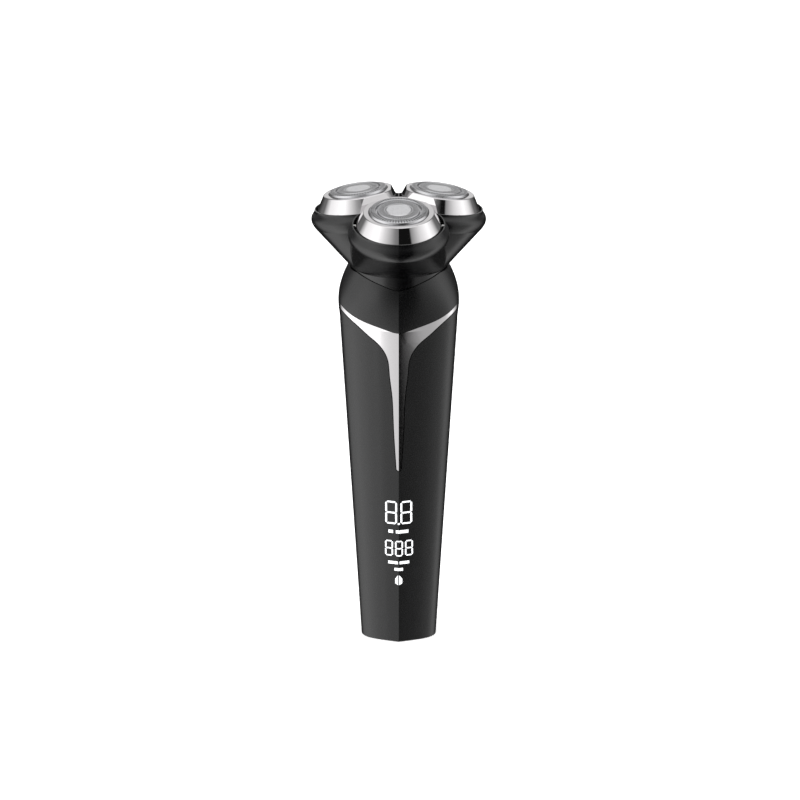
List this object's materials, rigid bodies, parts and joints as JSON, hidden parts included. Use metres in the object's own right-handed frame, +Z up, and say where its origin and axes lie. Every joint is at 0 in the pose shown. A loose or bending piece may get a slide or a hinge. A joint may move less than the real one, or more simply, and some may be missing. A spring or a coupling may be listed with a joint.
{
  "type": "electric shaver",
  "caption": "Rotary electric shaver: tapered handle with a front ridge and lit display, and a pull-off head with tilting round shaving units.",
  "frame": {"origin": "middle of the handle's flat foot", "axes": "+Z up the handle to the shaving head, -Y towards the display side, +X to the viewer's right"},
  "size_m": [0.0602, 0.0568, 0.1638],
  "materials": {
    "auxiliary_boards": "solder mask",
    "base_cap": "satin moulded ABS",
    "battery_cell": "shrink sleeve",
    "battery_tabs": "nickel strip",
    "board_components": "moulded packages",
    "charging_socket": "drawn shell",
    "chassis": "moulded",
    "chrome_cover": "bright plated",
    "chrome_inlay": "bright plated",
    "cutter": "ground",
    "display_module": "white light box",
    "display_segments": "clear, lit from behind",
    "drive_coupling": "acetal",
    "drive_gear": "acetal",
    "front_cover": "satin moulded ABS",
    "gear_plate": "acetal",
    "gearbox_cover": "acetal",
    "gearbox_screws": "zinc plated",
    "guard": "etched and polished",
    "guard_cap": "bright plated",
    "head_bowl": "polished",
    "head_frame": "polished",
    "main_board": "solder mask",
    "motor_case": "zinc plated",
    "motor_end_cap": "moulded nylon",
    "motor_magnets": "ferrite",
    "motor_mount": "moulded",
    "motor_rotor": "laminated",
    "motor_screws": "zinc plated",
    "neck_ring": "polished",
    "power_button": "polished",
    "push_switch": "pressed",
    "rear_cover": "satin moulded ABS",
    "retainer": "moulded",
    "shaft_seal": "nitrile",
    "shoulder_ring": "satin moulded ABS",
    "shoulder_screws": "zinc plated",
    "snap_ring": "acetal",
    "socket_seal": "silicone",
    "spindle": "acetal",
    "spindle_spring": "wire",
    "sun_gear": "acetal",
    "tilt_pins": "ground",
    "tilt_springs": "spring strip"
  },
  "bodies": {
    "handle": {"auxiliary_boards": "auxiliary_boards", "base_cap": "base_cap", "battery_cell": "battery_cell", "battery_tabs": "battery_tabs", "board_components": "board_components", "charging_socket": "charging_socket", "chassis": "chassis", "chrome_inlay": "chrome_inlay", "display_module": "display_module", "display_segments": "display_segments", "front_cover": "front_cover", "main_board": "main_board", "motor_case": "motor_case", "motor_end_cap": "motor_end_cap", "motor_magnets": "motor_magnets", "motor_mount": "motor_mount", "motor_screws": "motor_screws", "push_switch": "push_switch", "rear_cover": "rear_cover", "shaft_seal": "shaft_seal", "shoulder_ring": "shoulder_ring", "shoulder_screws": "shoulder_screws", "socket_seal": "socket_seal"},
    "button": {"power_button": "power_button"},
    "motor": {"motor_rotor": "motor_rotor", "drive_coupling": "drive_coupling"},
    "head_unit": {"head_frame": "head_frame", "head_bowl": "head_bowl", "neck_ring": "neck_ring", "snap_ring": "snap_ring", "gear_plate": "gear_plate", "gearbox_cover": "gearbox_cover", "gearbox_screws": "gearbox_screws", "tilt_pins": "tilt_pins", "tilt_springs": "tilt_springs"},
    "sun": {"sun_gear": "sun_gear"},
    "drive_front": {"drive_gear_front": "drive_gear", "spindle_front": "spindle", "spindle_spring_front": "spindle_spring"},
    "pod_front": {"chrome_cover_front": "chrome_cover", "retainer_front": "retainer"},
    "shaving_head_front": {"guard_front": "guard", "guard_cap_front": "guard_cap"},
    "cutter_front": {"cutter_front": "cutter"},
    "drive_right": {"drive_gear_right": "drive_gear", "spindle_right": "spindle", "spindle_spring_right": "spindle_spring"},
    "pod_right": {"chrome_cover_right": "chrome_cover", "retainer_right": "retainer"},
    "shaving_head_right": {"guard_right": "guard", "guard_cap_right": "guard_cap"},
    "cutter_right": {"cutter_right": "cutter"},
    "drive_left": {"drive_gear_left": "drive_gear", "spindle_left": "spindle", "spindle_spring_left": "spindle_spring"},
    "pod_left": {"chrome_cover_left": "chrome_cover", "retainer_left": "retainer"},
    "shaving_head_left": {"guard_left": "guard", "guard_cap_left": "guard_cap"},
    "cutter_left": {"cutter_left": "cutter"}
  },
  "joints": [
    {"name": "button_press", "type": "slide", "parent": "handle", "child": "button", "axis": [0, -1, 0], "range_m": [0, 0.0008], "stiffness_N_per_m": 600, "springref_m": -0.0003},
    {"name": "motor_spin", "type": "hinge", "parent": "handle", "child": "motor", "pos_m": [0, 0, 0.1], "axis": [0, 0, 1], "continuous": true},
    {"name": "head_pull", "type": "slide", "parent": "handle", "child": "head_unit", "axis": [0, 0, 1], "range_m": [0, 0.025]},
    {"name": "sun_spin", "type": "hinge", "parent": "head_unit", "child": "sun", "pos_m": [0, 0, 0.148], "axis": [0, 0, 1], "continuous": true},
    {"name": "drive_spin_front", "type": "hinge", "parent": "head_unit", "child": "drive_front", "pos_m": [0, -0.0153, 0.148], "axis": [0, 0, 1], "continuous": true},
    {"name": "pod_tilt_front", "type": "hinge", "parent": "head_unit", "child": "pod_front", "pos_m": [0, -0.01533, 0.15646], "axis": [1, 0, 0], "range_deg": [-3, 3], "stiffness_Nm_per_rad": 0.05},
    {"name": "guard_press_front", "type": "slide", "parent": "pod_front", "child": "shaving_head_front", "axis": [0, 0.1478, -0.989], "range_m": [0, 0.0008], "stiffness_N_per_m": 500, "springref_m": -0.0006},
    {"name": "cutter_spin_front", "type": "hinge", "parent": "shaving_head_front", "child": "cutter_front", "pos_m": [0, -0.0158, 0.15962], "axis": [0, -0.1478, 0.989], "continuous": true},
    {"name": "drive_spin_right", "type": "hinge", "parent": "head_unit", "child": "drive_right", "pos_m": [0.01325, 0.00765, 0.148], "axis": [0, 0, 1], "continuous": true},
    {"name": "pod_tilt_right", "type": "hinge", "parent": "head_unit", "child": "pod_right", "pos_m": [0.01328, 0.00767, 0.15646], "axis": [-0.5, 0.866, 0], "range_deg": [-3, 3], "stiffness_Nm_per_rad": 0.05},
    {"name": "guard_press_right", "type": "slide", "parent": "pod_right", "child": "shaving_head_right", "axis": [-0.128, -0.0739, -0.989], "range_m": [0, 0.0008], "stiffness_N_per_m": 500, "springref_m": -0.0006},
    {"name": "cutter_spin_right", "type": "hinge", "parent": "shaving_head_right", "child": "cutter_right", "pos_m": [0.01369, 0.0079, 0.15962], "axis": [0.128, 0.0739, 0.989], "continuous": true},
    {"name": "drive_spin_left", "type": "hinge", "parent": "head_unit", "child": "drive_left", "pos_m": [-0.01325, 0.00765, 0.148], "axis": [0, 0, 1], "continuous": true},
    {"name": "pod_tilt_left", "type": "hinge", "parent": "head_unit", "child": "pod_left", "pos_m": [-0.01328, 0.00767, 0.15646], "axis": [-0.5, -0.866, 0], "range_deg": [-3, 3], "stiffness_Nm_per_rad": 0.05},
    {"name": "guard_press_left", "type": "slide", "parent": "pod_left", "child": "shaving_head_left", "axis": [0.128, -0.0739, -0.989], "range_m": [0, 0.0008], "stiffness_N_per_m": 500, "springref_m": -0.0006},
    {"name": "cutter_spin_left", "type": "hinge", "parent": "shaving_head_left", "child": "cutter_left", "pos_m": [-0.01369, 0.0079, 0.15962], "axis": [-0.128, 0.0739, 0.989], "continuous": true}
  ],
  "couplings": [
    {"joint": "sun_spin", "follows": "motor_spin", "ratio": 1},
    {"joint": "drive_spin_front", "follows": "motor_spin", "ratio": -0.66667},
    {"joint": "cutter_spin_front", "follows": "motor_spin", "ratio": -0.66667},
    {"joint": "drive_spin_right", "follows": "motor_spin", "ratio": -0.66667},
    {"joint": "cutter_spin_right", "follows": "motor_spin", "ratio": -0.66667},
    {"joint": "drive_spin_left", "follows": "motor_spin", "ratio": -0.66667},
    {"joint": "cutter_spin_left", "follows": "motor_spin", "ratio": -0.66667}
  ]
}
